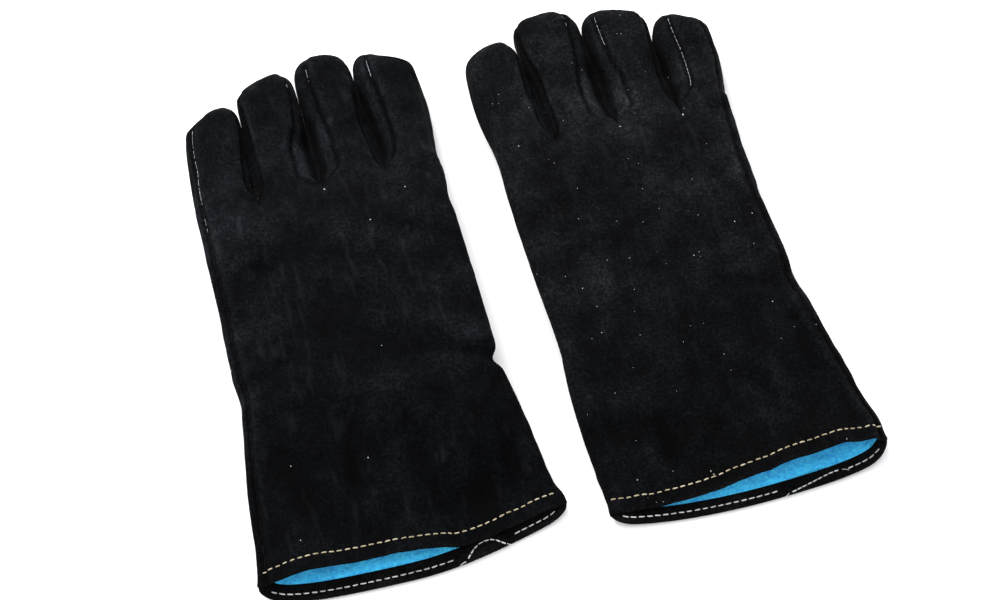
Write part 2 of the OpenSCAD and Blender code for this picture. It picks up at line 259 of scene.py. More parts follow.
class Glove:
    """One glove's measures, read from the CAD model's boxes, and its surface as grids of points."""

    def __init__(self, side):
        self.side = side
        self.sign = 1 if side == "left" else -1
        lo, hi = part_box(f"{side}_cuff_palm")
        self.cx = (lo[0] + hi[0]) / 2 / MM
        self.y0 = lo[1] / MM
        self.cuff_hw = (hi[0] - lo[0]) / 2 / MM
        self.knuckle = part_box(f"{side}_hand_back")[1][1] / MM - self.y0
        self.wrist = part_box(f"{side}_cuff_back")[1][1] / MM - self.y0
        self.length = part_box(f"{side}_middle_back")[1][1] / MM - self.y0
        self.crotch = self.knuckle + CROTCH_UP
        self.tips, mids = {}, []
        for name in FINGERS:
            boxes = [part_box(f"{side}_{name}_{part}") for part in ("back", "front", "gussets")]
            ends = [self.sign * (b[i][0] / MM - self.cx) for b in boxes for i in (0, 1)]
            self.tips[name] = max(b[1][1] for b in boxes) / MM - self.y0
            mids.append((min(ends) + max(ends)) / 2)
        self.crotches = [(a + b) / 2 + FINGER_LEAN[side] for a, b in zip(mids, mids[1:])]

    def bow(self, y):
        """How far the glove's middle line has moved towards the thumb."""
        return BOW[self.side] * smooth(2.5 * np.asarray(y, float) / self.length)

    def place(self, p):
        """Points of this glove, in metres in the row's frame."""
        q = np.array(p, float)
        q[..., 0] = self.cx + self.sign * q[..., 0]
        q[..., 1] += self.y0
        return q * MM

    def turn(self, n):
        """Directions of this glove in the row's frame."""
        q = np.array(n, float)
        q[..., 0] *= self.sign
        return q

    def edge(self, end, y):
        """Where one side of the hand or cuff lies: end -1 is the little finger's side, 1 the thumb's."""
        flare = mix(self.cuff_hw, WRIST_HALF[self.side], np.clip(y / self.wrist, 0, 1))
        wide = mix(flare, HAND_HALF[self.side], smooth((y - self.wrist) / 120))
        for at, height, depth, width in KINKS[self.side]:
            if at == end:
                wide = wide - depth * np.exp(-((y - height) / width) ** 2)
        return self.bow(y) + end * wide

    def across(self, x, y):
        """Where x lies across the glove at height y, from -1 at one side to 1 at the other."""
        low, high = self.edge(-1, y), self.edge(1, y)
        return np.clip((2 * x - low - high) / (high - low), -1, 1)

    def belly(self, y):
        """How far the palm is off the ground, where the thumb lies under it."""
        return PALM_LIFT * smooth((y - 15) / (self.wrist + 5)) * (1 - smooth((y - self.knuckle + 30) / 75))

    def thick(self, y):
        hand = mix(HAND_H, FINGER_H, smooth((y - self.wrist) / 140))
        return np.where(y < self.wrist, mix(CUFF_H, HAND_H, smooth(y / self.wrist)), hand)

    def hand_z(self, xn, y, top):
        """Heights of the hand's or cuff's middle and of its sheet, where xn is the place across."""
        mouth = 1 - smooth(y / MOUTH_FADE)
        shape = (1 - np.abs(xn) ** mix(2.7, 5.0, mouth)) ** mix(0.42, 0.50, mouth)
        half = self.thick(y) / 2
        shut_from, shut_to = MOUTH_SHUT[self.side]
        shut = np.clip((xn - shut_from) / (shut_to - shut_from), 0, 1)
        shut = mix(shut, smooth(shut), 0.6)
        crown = mix(MOUTH_OPEN_H[self.side], MOUTH_SHUT_H, shut)
        crown = crown + 1.0 * np.sin(8.5 * xn + 1) * (1 - shut) + 0.6 * np.sin(17 * xn)
        mouth_mid = mix(10.0, 4.8, shut)
        middle = mix(self.belly(y) + half, mouth_mid, mouth)
        upper, lower = mix(half, crown - mouth_mid, mouth), mix(half, mouth_mid, mouth)
        return middle, middle + (upper if top else -lower) * shape

    def hand_patch(self, top):
        """Grid over the cuff and the hand, from the mouth to the crotches, and a grid of painted shade that
        is all zero.
        """
        ys = np.linspace(0, self.crotch, round(self.crotch / ROW_STEP) + 1)
        grid = np.zeros((len(ys), 4 * BLOCK_STEPS + 1, 3))
        low, high = self.edge(-1, self.crotch), self.edge(1, self.crotch)
        share = [0.0] + [(c - low) / (high - low) for c in self.crotches] + [1.0]
        even = np.linspace(-1, 1, BLOCK_STEPS + 1)
        crowded = 2 * ((even + 1) / 2) ** 1.4 - 1
        for i, y in enumerate(ys):
            low, high = self.edge(-1, y), self.edge(1, y)
            pinch = smooth((y - (self.crotch - CROTCH_RISE)) / CROTCH_RISE)
            walk = smooth((y - (self.crotch - 55)) / 55)
            for k in range(4):
                plain = crowded if k == 0 else -crowded[::-1] if k == 3 else even
                a, b = mix(low, high, share[k]), mix(low, high, share[k + 1])
                s = mix(plain, ACROSS, walk)
                x = (a + b) / 2 + (b - a) / 2 * s
                middle, z = self.hand_z(self.across(x, y), y, top)
                fingered = middle + (1 if top else -1) * FINGER_H / 2 * HEIGHT
                cols = slice(k * BLOCK_STEPS, (k + 1) * BLOCK_STEPS + 1)
                grid[i, cols, 0] = x
                grid[i, cols, 1] = y
                grid[i, cols, 2] = mix(z, fingered, pinch)
        # The back stops short of the palm side, and the corners of the mouth are round
        fade = 1 - smooth(grid[:, :, 1] / 50)
        xn = self.across(grid[:, :, 0], grid[:, :, 1])
        corner = np.clip((np.abs(xn) - 0.84) / 0.16, 0, 1)
        bulge = 1 - np.abs(xn) ** np.where(xn < 0, 6.0, 3.5)
        shut_from, shut_to = MOUTH_SHUT[self.side]
        drawn = BACK_DRAW * (1 - 2.6 * smooth((xn - shut_from) / (shut_to - shut_from)))
        skew = MOUTH_SKEW[self.side][0] * smooth(-xn) + MOUTH_SKEW[self.side][1] * smooth(xn)
        if top:
            step = CUFF_STEP + drawn * bulge
        else:
            step = CUFF_STEP * (1 - np.sqrt(1 - corner ** 2)) - PALM_SWELL * bulge
        grid[:, :, 1] += fade * (step + skew)
        return grid, np.zeros(grid.shape[:2])

    def finger_edge(self, j, y, tip):
        """Line j between two fingers, or the outer side of the first or last, at height y."""
        t = np.clip((y - self.crotch) / (tip - self.crotch), 0, 1)
        if j == 0:
            lean = OUTER_LEAN[self.side][0] * t ** 3
            return self.edge(-1, self.crotch) - OUTER_BULGE[self.side][0] * hump(0.95 * t) + lean
        if j == 4:
            lean = OUTER_LEAN[self.side][1] * t ** 2
            return self.edge(1, self.crotch) + OUTER_BULGE[self.side][1] * hump(0.95 * t) - lean
        return self.crotches[j - 1] + TIP_SPREAD[self.side][j - 1] * t

    def seam_share(self, name, end, t):
        """How far out across the finger the back seam runs, t being the share of its length."""
        share = BACK_SEAMS[self.side][(name, end)]
        if self.in_pocket(name, end):
            share = mix(POCKET_SHARE, share, smooth((t - 0.30) / 0.25))
            return mix(0.99, share, 1 - (1 - np.clip(t / 0.12, 0, 1)) ** 3)
        return mix(0.99, share, 1 - (1 - np.clip(t / 0.2, 0, 1)) ** 2)

    @staticmethod
    def in_pocket(name, end):
        return (name, end) in (("ring", 1), ("middle", -1))

    def finger_patch(self, name, top):
        """Grid over one finger, from the crotch to the tip, and its painted shade and highlight."""
        k = FINGERS.index(name)
        tip = self.tips[name] + TIP_REACH[self.side][k]
        tilt, gaps = TIP_TILT[self.side][k], (0, *TIP_GAP[self.side], 0)
        grid = np.zeros((FINGER_ROWS, BLOCK_STEPS + 1, 3))
        painted_tones = np.zeros(grid.shape[:2])
        for i, t in enumerate(FINGER_TS):
            y = mix(self.crotch, tip, t)
            low, high = self.finger_edge(k, y, tip), self.finger_edge(k + 1, y, tip)
            parting = smooth((t - 0.72) / 0.28)
            low += parting * gaps[k]
            high -= parting * gaps[k + 1]
            gap = 0.05 * smooth(t / 0.05)
            u = np.clip((t - 1 + TIP_ROUND[name]) / TIP_ROUND[name], 0, 1)
            width = 0.54 + 0.46 * (1 - u ** 3.0) ** (1 / 2.4)
            height = (1 - u ** 2.5) ** (1 / 2.2)
            # Towards the back the fingers stand apart along their middle, and touch again near their tips
            stand = 0.17 * smooth((t + 0.04) / 0.16) * (1 - smooth((t - 0.42) / 0.38)) + 0.02
            apart = 1 - (stand * HEIGHT ** 0.4 if top else 0)
            grid[i, :, 0] = (low + high) / 2 + ((high - low) / 2 - gap) * width * ACROSS * apart
            drop = 5.0 * np.abs(ACROSS) ** 2.4 - tilt * ACROSS + abs(tilt) * 0.6
            grid[i, :, 1] = y - drop * u ** 2
            lift = FINGER_H / 2 * height * HEIGHT
            if top:
                for end in GUSSETS[name]:
                    share = self.seam_share(name, end, t)
                    across = np.clip((end * ACROSS - share) / max(1 - share, 0.02), 0, 1)
                    lift = lift * (1 - 0.30 * across * (1 - share) / 0.5)
                    low_down = 1 - smooth((t - 0.55) / 0.3)
                    # Painted shade on the back beside a gusset, lower down the finger
                    painted_tones[i] -= GUSSET_SHADE * smooth((across - 0.72) / 0.28) * low_down
                    if self.in_pocket(name, end):
                        puff = 5.5 * across ** 0.35 - 3.6 * hump(across)
                        held = smooth(t / 0.08) * (1 - smooth((t - 0.34) / 0.2))
                        lift = lift - np.minimum(puff, 0.8 * lift) * held
                        # A painted highlight on the crown of each puff
                        painted_tones[i] += 0.46 * hump(across / 0.9) * held
            middle = self.belly(y) + FINGER_H / 2
            grid[i, :, 2] = middle + (lift if top else -lift)
        return grid, painted_tones

    def thumb_patch(self, top):
        """Grid over the thumb, which lies flat under the palm."""
        ts = np.sin(np.linspace(-0.5, 0.5, FINGER_ROWS) * math.pi) / 2 + 0.5
        grid = np.zeros((FINGER_ROWS, BLOCK_STEPS + 1, 3))
        height_up = THUMB_SHARE * self.length
        pivot = (THUMB_X + self.bow(height_up), height_up)
        c, n = math.cos(math.radians(THUMB_TUCK)), math.sin(math.radians(THUMB_TUCK))
        for i, t in enumerate(ts):
            u = np.clip((abs(2 * t - 1) - 0.52) / 0.48, 0, 1)
            width, height = 0.3 + 0.7 * (1 - u ** 2.4) ** 0.45, (1 - u ** 2.4) ** 0.45
            x, y = THUMB_W / 2 * width * ACROSS, mix(-18, THUMB_LEN, t)
            grid[i, :, 0] = pivot[0] + c * x - n * y
            grid[i, :, 1] = pivot[1] + n * x + c * y
            lift = THUMB_H / 2 * height * HEIGHT
            grid[i, :, 2] = THUMB_H / 2 + (lift if top else -lift)
        return grid, np.zeros(grid.shape[:2])

    def relief(self, p, n):
        """How far each point of the leather stands out from the plain surface."""
        back = smooth((n[:, 2] + 0.1) / 0.6)
        finger = smooth((p[:, 1] - self.crotch) / 12)
        seed = 11 if self.side == "left" else 47
        out = 0.95 * waves(p, 62, seed) * (1 - 0.5 * finger) + 0.55 * waves(p, 25, seed + 1)
        out += 0.20 * waves(p, 10, seed + 2)
        # Soft folds that run along the lower cuff
        out += 0.8 * waves(p, 20, seed + 3, stretch=(1, 4.5, 1)) * (1 - smooth((p[:, 1] - 75) / 50)) * back
        for a, b, width, depth in FOLDS[self.side]:
            d, t = segment_distance(p, a, b)
            fade = hump(np.clip(t, 0.06, 0.94)) ** 0.7
            out -= depth * fade * np.exp(-(d / width) ** 2) * back
            out += 0.5 * depth * fade * np.exp(-((d - 1.7 * width) / width) ** 2) * back
        # Small puckers across the fingers' backs, where they bend
        across = np.sin(p[:, 1] / 4.2 + 1.5 * waves(p, 30, seed + 5)) * 0.25 * finger
        out += across * smooth((0.4 + waves(p, 28, seed + 6)) / 1.2)
        # The sides between the fingers stay clear of one another, and the underside stays flat
        side = finger * (1 - smooth((np.abs(n[:, 2]) - 0.2) / 0.4))
        edge = mix(0.25, 1.0, smooth((np.abs(n[:, 2]) - 0.15) / 0.5))
        deepest = mix(-1.0, -3.2, smooth((p[:, 1] - 14) / 20))
        return np.clip(out, deepest, 2.0) * (1 - side) * edge * np.where(p[:, 2] < 4, 0.12, 1.0)

    def painted_shading(self, p, n, relief):
        """Painted shade and highlight on the leather: 0.5 is plain, less is painted shade, as in the valleys
        of folds, in the slits and towards the mouth, and more is a painted highlight on raised places.
        """
        finger = smooth((p[:, 1] - self.crotch + 8) / 10)
        # Painted shade in the valleys of the relief, and a painted highlight on its ridges
        tone = 0.5 + 0.045 * np.clip(relief, -3, 2)
        side = 1 - smooth((n[:, 2] - 0.15) / 0.6)
        # Painted shade on the sides of the fingers, in the slits between them
        tone -= SLIT_SHADE * finger * side * (1 - smooth((p[:, 1] - self.crotch - 62) / 30))
        # Painted shade towards the mouth of the cuff
        tone -= CUFF_SHADE[self.side] * (1 - smooth((p[:, 1] - 30) / (self.wrist + 50)))
        return tone


class Seam:
    """A line along which two panels are sewn, as a fractional column for each row of a patch."""

    def __init__(self, part, kind, top, ids, cols, end=0):
        self.part, self.kind, self.top, self.end = part, kind, top, end
        self.ids, self.cols = ids, cols

    def along(self, values):
        """Values of the shell's points, read off along the seam."""
        left = np.minimum(self.cols.astype(int), self.ids.shape[1] - 2)
        t = (self.cols - left)[:, None]
        rows = np.arange(len(self.cols))
        return values[self.ids[rows, left]] * (1 - t) + values[self.ids[rows, left + 1]] * t


class Shell:
    """All the leather of one glove as one surface, with shared normals, to be cut into its panels."""

    def __init__(self, glove):
        self.glove = glove
        self.patches = {}
        points, painted_tones, tops, faces, self.labels, self.seams = [], [], [], [], [], []
        count = 0
        for top in (True, False):
            todo = [("hand", glove.hand_patch(top))]
            todo += [(name, glove.finger_patch(name, top)) for name in FINGERS]
            todo += [("thumb", glove.thumb_patch(top))]
            for part, (grid, tone) in todo:
                rows, cols = grid.shape[:2]
                ids = count + np.arange(rows * cols).reshape(rows, cols)
                count += rows * cols
                self.patches[(part, top)] = ids
                points.append(grid.reshape(-1, 3))
                painted_tones.append(tone.reshape(-1))
                tops.append(np.full(rows * cols, top))
                bounds = self.find_seams(part, top, ids, grid)
                corners = [ids[:-1, :-1], ids[:-1, 1:], ids[1:, 1:], ids[1:, :-1]]
                if top != (glove.sign > 0):
                    corners = corners[::-1]
                faces.append(np.stack([c.reshape(-1) for c in corners], axis=1))
                for i in range(rows - 1):
                    name = "cuff" if part == "hand" and grid[i, 0, 1] < glove.wrist + WRIST_REACH else part
                    for j in range(cols - 1):
                        panel = "back" if top else "palm"
                        for new_panel, first, last in bounds:
                            if first[i] <= j + 0.5 <= last[i]:
                                panel = new_panel
                        self.labels.append((name, panel))
        self.plain = np.concatenate(points)
        self.top = np.concatenate(tops)
        self.faces = np.concatenate(faces)
        _, weld = np.unique(np.round(self.plain, 2), axis=0, return_inverse=True)
        self.weld = weld.reshape(-1)
        self.inward = -self.make_normals(self.plain)
        relief, drawn = glove.relief(self.plain, -self.inward), self.seam_relief()
        # Painted shade and highlight for each point: shade in the folds, the seam grooves, the slits, beside
        # the gussets and towards the mouth, highlight on ridges, seam crests and the pocket's puffs
        shaded = glove.painted_shading(self.plain, -self.inward, relief)
        self.painted_shading = shaded + self.seam_shading(drawn) + np.concatenate(painted_tones)
        self.points = self.plain - self.inward * (relief + drawn)[:, None]
        self.points[:, 2] = np.maximum(self.points[:, 2], 0.05)
        self.normals = self.make_normals(self.points)

    def find_seams(self, part, top, ids, grid):
        """Notes the seams of a patch, and returns the panels beside its back or palm: name, columns."""
        rows, cols = ids.shape
        bounds = []
        if part in ("hand", "pinky") and top:
            at = np.array([np.interp(SIDE_SEAM_IN, row - row[0], np.arange(cols)) for row in grid[:, :, 0]])
            self.seams.append(Seam(part, "side", top, ids, at))
            bounds.append(("palm", np.full(rows, -1.0), at))
        for end in GUSSETS.get(part, ()):
            share = np.array([self.glove.seam_share(part, end, t) if top else PALM_SEAM for t in FINGER_TS])
            at = np.interp(end * share, ACROSS, np.arange(cols))
            self.seams.append(Seam(part, "gusset", top, ids, at, end))
            ends = (np.full(rows, -1.0), at) if end < 0 else (at, np.full(rows, cols + 1.0))
            bounds.append(("gussets", *ends))
        return bounds

    def make_normals(self, p):
        """Vertex normals in the glove's own frame, shared by points that lie together."""
        a, b, c, d = (p[self.faces[:, i]] for i in range(4))
        n = np.cross(c - a, d - b) * self.glove.sign
        total = np.zeros((self.weld.max() + 1, 3))
        for i in range(4):
            np.add.at(total, self.weld[self.faces[:, i]], n)
        total /= np.maximum(np.linalg.norm(total, axis=1), 1e-9)[:, None]
        return total[self.weld]

    @staticmethod
    def seam_shading(drawn):
        """Painted shade in the stitching grooves, and a painted highlight on the crest of the leather beside
        them.
        """
        return 0.36 * np.minimum(drawn, 0) + 0.22 * np.maximum(drawn, 0)

    def seam_relief(self):
        """Leather drawn in along each seam, with a pucker at every stitch."""
        shift = np.zeros(len(self.plain))
        for seam in self.seams:
            line = seam.along(self.plain)
            step = np.linalg.norm(np.diff(line, axis=0), axis=1)
            along = np.concatenate([[0], np.cumsum(step)])
            d = np.linalg.norm(self.plain[seam.ids] - line[:, None, :], axis=2)
            pucker = 1 + 0.25 * np.sin(along / 7.5 * 2 * math.pi)[:, None]
            near = -1.4 * np.exp(-(d / 1.5) ** 2) * pucker + 0.7 * np.exp(-((d - 4.0) / 2.2) ** 2)
            if seam.kind == "side" and seam.part == "pinky":
                near *= 1 - smooth((np.linspace(0, 1, len(seam.cols)) - 0.62) / 0.2)[:, None]
            if seam.kind == "gusset":
                near *= 1 - 0.75 * smooth((FINGER_TS - 0.86) / 0.14)[:, None]
                near *= smooth(np.abs(self.inward[seam.ids, 2]) / 0.4)
            shift[seam.ids] += near
        total = np.zeros(self.weld.max() + 1)
        shared = np.zeros(self.weld.max() + 1)
        np.add.at(total, self.weld, shift)
        np.add.at(shared, self.weld, 1)
        return (total / shared)[self.weld]


# ---------------------------------------------------------------- making Blender pieces
def quads(rows, cols, start=0, closed=True):
    """Faces over a grid of points that are numbered row by row from start."""
    faces = []
    for i in range(rows - 1):
        for j in range(cols if closed else cols - 1):
            a, b = start + i * cols + j, start + i * cols + (j + 1) % cols
            faces.append([a, b, b + cols, a + cols])
    return faces


def facing(glove, faces):
    """The faces of the right glove are turned over, because it is a mirror image."""
    return faces if glove.sign > 0 else [face[::-1] for face in faces]


def add_object(name, data):
    thing = bpy.data.objects.new(name, data)
    bpy.context.scene.collection.objects.link(thing)
    return thing


def add_mesh(name, points, faces, material, normals=None, painted_shading=None):
    mesh = bpy.data.meshes.new(name)
    mesh.from_pydata([tuple(p) for p in points], [], [tuple(int(i) for i in f) for f in faces])
    mesh.polygons.foreach_set("use_smooth", [True] * len(mesh.polygons))
    if normals is not None:
        mesh.normals_split_custom_set_from_vertices([tuple(n) for n in normals])
    # Painted shade and highlight, stored as an attribute for the suede to read
    if painted_shading is not None:
        mesh.attributes.new("painted_shading", "FLOAT", "POINT").data.foreach_set("value", painted_shading)
    mesh.materials.append(material)
    return add_object(name, mesh)


def cut_panel(shell, name, part, panel, thickness, material):
    """One leather panel cut from the shell, as a closed skin of the leather's thickness."""
    glove = shell.glove
    chosen = [i for i, label in enumerate(shell.labels) if label == (part, panel)]
    faces = shell.faces[chosen]
    # Points that lie together are joined within a panel, and flat faces at the tips are dropped
    used, inverse = np.unique(shell.weld[faces], return_inverse=True)
    faces = inverse.reshape(faces.shape)
    first = np.zeros(shell.weld.max() + 1, int)
    first[shell.weld] = np.arange(len(shell.weld))
    ids = first[used]
    clean = []
    for face in faces:
        corners = list(dict.fromkeys(face))
        if len(corners) >= 3:
            clean.append(corners)
    count = len(used)
    outer, normal = shell.points[ids], shell.normals[ids]
    inner = outer - normal * thickness
    edge = {}
    for face in clean:
        for a, b in zip(face, face[1:] + face[:1]):
            edge[(a, b)] = edge.get((a, b), 0) + 1
    rim = [(b, a, a + count, b + count) for (a, b) in edge if (b, a) not in edge]
    both = clean + [[i + count for i in face[::-1]] for face in clean] + rim
    points = glove.place(np.concatenate([outer, inner]))
    normals = glove.turn(np.concatenate([normal, -normal]))
    # The panel carries the painted shade and highlight as an attribute
    painted_shading = np.clip(np.tile(shell.painted_shading[ids], 2), 0, 1)
    return add_mesh(name, points, both, material, normals, painted_shading)


def settle(glove, piece, part, nodes):
    """Attaches a piece to the body of the hand, the thumb or the cuff, or for the cuff's panels and the
    fingers only bakes its transform, and hides the CAD parts that it stands for.
    """
    side = glove.side
    hand = f"{side}_hand"
    if part in ("hand", "rest"):
        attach(piece, hand)
    elif part == "thumb":
        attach(piece, f"{side}_thumb")
    elif part == "cuff":
        start = glove.place(np.array([0, glove.wrist + WRIST_REACH, BEND_Z]))
        end = glove.place(np.array([0, glove.wrist - WRIST_REACH, BEND_Z]))
        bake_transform(piece)
    elif part == "mouth":
        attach(piece, f"{side}_cuff")
    else:
        start = glove.place(np.array([0, glove.crotch, BEND_Z]))
        end = glove.place(np.array([0, glove.crotch + KNUCKLE_REACH, BEND_Z]))
        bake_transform(piece)
    if nodes:
        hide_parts(*nodes)


def stitch_rings(p, direction, normal, length, radius, bulge=0.35):
    """Rings of one stitch: a short thread that arches out of the leather and back in."""
    side = np.cross(direction, normal)
    side /= np.linalg.norm(side)
    rings = []
    for t, r in ((-1, 0.45), (-0.86, 0.85), (-0.45, 1), (0, 1.05), (0.45, 1), (0.86, 0.85), (1, 0.45)):
        centre = p + direction * t * length / 2 + normal * radius * (bulge - 1.1 * abs(t) ** 3)
        angles = np.linspace(0, 2 * math.pi, STITCH_SIDES, endpoint=False)
        rings.append([centre + radius * r * (np.cos(a) * side + np.sin(a) * normal) for a in angles])
    return np.array(rings)


def one_way(path, normal):
    """A line for stitches() on which every stitch stands out the same way."""
    return path, np.tile(np.array(normal), (len(path), 1))


def stitches(glove, name, lines, material, length=STITCH_LEN, pitch=STITCH_PITCH, radius=THREAD_R, seed=5):
    """Rows of stitches as one piece. Each line is points and normals along a seam."""
    rng = np.random.default_rng(seed)
    points, faces = [], []
    for path, normals in lines:
        step = np.linalg.norm(np.diff(path, axis=0), axis=1)
        along = np.concatenate([[0], np.cumsum(step)])
        for at in np.arange(pitch, along[-1] - pitch * 0.6, pitch):
            at = at + rng.uniform(-0.15, 0.15)
            p = np.array([np.interp(at, along, path[:, i]) for i in range(3)])
            q = np.array([np.interp(at + 1, along, path[:, i]) for i in range(3)])
            n = np.array([np.interp(at, along, normals[:, i]) for i in range(3)])
            n /= np.linalg.norm(n)
            d = q - p + rng.normal(size=3) * 0.05
            d /= np.linalg.norm(d)
            rings = stitch_rings(p, d, n, length * rng.uniform(0.9, 1.06), radius * rng.uniform(0.9, 1.1))
            base = len(points)
            points.extend(rings.reshape(-1, 3))
            first = list(range(base, base + STITCH_SIDES))
            last = list(range(len(points) - STITCH_SIDES, len(points)))
            faces += quads(len(rings), STITCH_SIDES, base) + [first[::-1], last]
    return add_mesh(name, glove.place(np.array(points)), facing(glove, faces), material)


def loft(glove, name, rings, material):
    """A skin through rings of points, each ring with the same number of points."""
    rings = np.array(rings)
    faces = facing(glove, quads(*rings.shape[:2]))
    return add_mesh(name, glove.place(rings.reshape(-1, 3)), faces, material)


# ---------------------------------------------------------------- materials
def set_inputs(node, **values):
    """Constants set on a node's sockets, whose names are written with _ for a space."""
    for name, value in values.items():
        node.inputs[name.replace("_", " ")].default_value = value


class Paint:
    """A new material, with short ways to add the nodes that it needs."""

    def __init__(self, name):
        self.material = bpy.data.materials.new(name)
        self.material.use_nodes = True
        self.nodes = self.material.node_tree.nodes
        self.shader = self.nodes["Principled BSDF"]

    def link(self, source, socket):
        self.material.node_tree.links.new(source, socket)

    def coords(self):
        return self.nodes.new("ShaderNodeTexCoord").outputs["Object"]

    def noise(self, coords, scale, detail, rough):
        node = self.nodes.new("ShaderNodeTexNoise")
        set_inputs(node, Scale=scale, Detail=detail, Roughness=rough)
        self.link(coords, node.inputs["Vector"])
        return node.outputs["Fac"]

    def ramp(self, source, *stops, kind="LINEAR"):
        """A colour for each value of the source. A stop is a position with a grey level or a colour."""
        node = self.nodes.new("ShaderNodeValToRGB")
        node.color_ramp.interpolation = kind
        while len(node.color_ramp.elements) < len(stops):
            node.color_ramp.elements.new(0.5)
        for element, (at, colour) in zip(node.color_ramp.elements, stops):
            element.position = at
            element.color = (*colour, 1) if isinstance(colour, tuple) else (colour, colour, colour, 1)
        self.link(source, node.inputs["Fac"])
        return node.outputs["Color"]

    def mix(self, fac, a, b, mode="MIX"):
        """Two colours mixed. Each input is a number, a colour or another node's output."""
        node = self.nodes.new("ShaderNodeMix")
        node.data_type = "RGBA"
        node.blend_type = mode
        for socket, value in ((node.inputs[0], fac), (node.inputs[6], a), (node.inputs[7], b)):
            if isinstance(value, (int, float)):
                socket.default_value = value
            elif isinstance(value, tuple):
                socket.default_value = (*value, 1)
            else:
                self.link(value, socket)
        return node.outputs[2]

    def times(self, value, factor):
        node = self.nodes.new("ShaderNodeMath")
        node.operation = "MULTIPLY"
        node.inputs[1].default_value = factor
        self.link(value, node.inputs[0])
        return node.outputs[0]

    def bump(self, height, strength, distance, before=None):
        node = self.nodes.new("ShaderNodeBump")
        set_inputs(node, Strength=strength, Distance=distance)
        self.link(height, node.inputs["Height"])
        if before is not None:
            self.link(before, node.inputs["Normal"])
        return node.outputs["Normal"]


# Pale streaks on the fine creases: partly a painted highlight, partly rubbed nap
CREASE_HIGHLIGHT_AND_RUB = (0.018, 0.019, 0.021)
DUST_COLOUR = (0.055, 0.058, 0.062)
LINT_COLOUR = (0.34, 0.35, 0.36)


def suede(name, dark, light, dust, specks, crease_highlight_and_rub, shaded=True):
    """Black split suede: a short dense nap, brushed light and dark, with dust and pale lint on it, pale
    streaks along fine creases that are partly painted highlight and partly rubbed nap, and, when shaded,
    painted shade and highlight read from the panels' attribute.
    """
    paint = Paint(name)
    shader, coords = paint.shader, paint.coords()
    mottle = paint.noise(coords, 34, 7, 0.66)
    patch = paint.noise(coords, 10, 4, 0.55)
    grain = paint.noise(coords, 520, 4, 0.7)
    nap = paint.noise(coords, 1500, 3, 0.7)
    between = tuple(mix(a, b, 0.4) for a, b in zip(dark, light))
    tone = paint.ramp(mottle, (0.36, dark), (0.52, between), (0.66, light))
    colour = paint.mix(1.0, tone, paint.ramp(patch, (0.38, 0.8), (0.64, 1.16)), "MULTIPLY")
    fibre = paint.ramp(nap, (0.35, 0.35), (0.68, (1.8, 1.82, 1.85)))
    colour = paint.mix(0.8, colour, fibre, "MULTIPLY")
    clumps = paint.ramp(grain, (0.36, 0.25), (0.66, (2.2, 2.2, 2.22)))
    colour = paint.mix(0.85, colour, clumps, "MULTIPLY")
    # Fine creases that run along the glove, painted paler: partly a painted highlight and partly rubbed nap
    along = paint.nodes.new("ShaderNodeMapping")
    set_inputs(along, Scale=(5, 1, 5), Rotation=(0, 0, 0.12))
    paint.link(coords, along.inputs["Vector"])
    crease = paint.noise(along.outputs["Vector"], 34, 2, 0.5)
    colour = paint.mix(paint.ramp(crease, (0.58, 0), (0.80, crease_highlight_and_rub)), colour, CREASE_HIGHLIGHT_AND_RUB)
    # Dust caught in the nap
    motes = paint.ramp(grain, (0.60, 0), (0.78, 1))
    colour = paint.mix(paint.times(motes, dust), colour, DUST_COLOUR)
    # Painted shade and highlight from the panels' attribute: dark in folds, seam grooves, slits, beside
    # gussets and towards the mouth, pale on ridges, seam crests and puffs
    if shaded:
        painted_shading = paint.nodes.new("ShaderNodeAttribute")
        painted_shading.attribute_name = "painted_shading"
        dim = (0.45, 0.45, 0.46)
        shade = paint.ramp(painted_shading.outputs["Fac"], (0.0, 0.03), (0.28, dim), (0.5, 1), (0.9, 2.6))
        colour = paint.mix(1.0, colour, shade, "MULTIPLY")
    # Lint: a few pale specks, each in its own cell
    for scale, size in specks:
        cell = paint.nodes.new("ShaderNodeTexVoronoi")
        set_inputs(cell, Scale=scale)
        paint.link(coords, cell.inputs["Vector"])
        dot = paint.ramp(cell.outputs["Distance"], (0.0, 1), (size, 0), kind="CONSTANT")
        colour = paint.mix(dot, colour, LINT_COLOUR)
    paint.link(colour, shader.inputs["Base Color"])
    paint.link(paint.ramp(mottle, (0.3, 0.82), (0.7, 1)), shader.inputs["Roughness"])
    set_inputs(shader, Specular_IOR_Level=0.04)
    set_inputs(shader, Sheen_Weight=0.012, Sheen_Roughness=0.35, Sheen_Tint=(0.85, 0.92, 1, 1))
    normal = paint.bump(mottle, 0.5, 0.0016)
    normal = paint.bump(grain, 0.7, 0.0005, normal)
    normal = paint.bump(nap, 0.7, 0.00025, normal)
    paint.link(normal, shader.inputs["Normal"])
    return paint.material


def fleece(name, deep, bright):
    """Brushed cotton fleece: small soft tufts, lighter on their tips."""
    paint = Paint(name)
    shader, coords = paint.shader, paint.coords()
    tuft = paint.noise(coords, 520, 5, 0.75)
    pile = paint.noise(coords, 90, 4, 0.6)
    shade = paint.ramp(pile, (0.35, (0.78, 0.8, 0.84)), (0.65, (1.1, 1.1, 1.08)))
    colour = paint.mix(1.0, paint.ramp(tuft, (0.3, deep), (0.62, bright)), shade, "MULTIPLY")
    paint.link(colour, shader.inputs["Base Color"])
    set_inputs(shader, Roughness=0.95, Specular_IOR_Level=0.15)
    set_inputs(shader, Sheen_Weight=0.35, Sheen_Roughness=0.5, Sheen_Tint=(0.6, 0.85, 1, 1))
    normal = paint.bump(pile, 0.6, 0.002)
    normal = paint.bump(tuft, 0.9, 0.0009, normal)
    paint.link(normal, shader.inputs["Normal"])
    return paint.material


